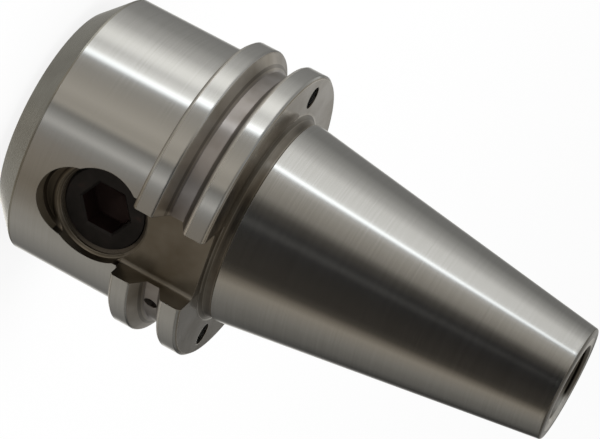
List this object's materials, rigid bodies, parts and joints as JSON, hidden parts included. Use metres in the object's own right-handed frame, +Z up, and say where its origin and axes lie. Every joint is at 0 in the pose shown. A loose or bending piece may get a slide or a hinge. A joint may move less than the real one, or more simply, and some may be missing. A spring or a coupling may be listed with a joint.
{
  "type": "side lock end mill holder",
  "caption": "Steep-taper spindle holder with a V-grooved, slotted flange and a plain bore that grips an end mill's flatted shank with a side set screw.",
  "frame": {"origin": "centre of the nose face, where the end mill enters", "axes": "+Z up the spindle axis from the nose to the small end of the taper; the lock screw faces -Y; the drive slots face -Y and +Y"},
  "size_m": [0.0636, 0.0614, 0.1182],
  "materials": {
    "holder_steel": "ground case-hardened steel",
    "screw_steel": "black oxide"
  },
  "bodies": {
    "holder": {"holder_body": "holder_steel"},
    "screw": {"lock_screw": "screw_steel"}
  },
  "joints": [
    {"name": "lock_screw_travel", "type": "slide", "parent": "holder", "child": "screw", "axis": [0, -1, 0], "range_m": [-0.00317, 0.00317]}
  ]
}
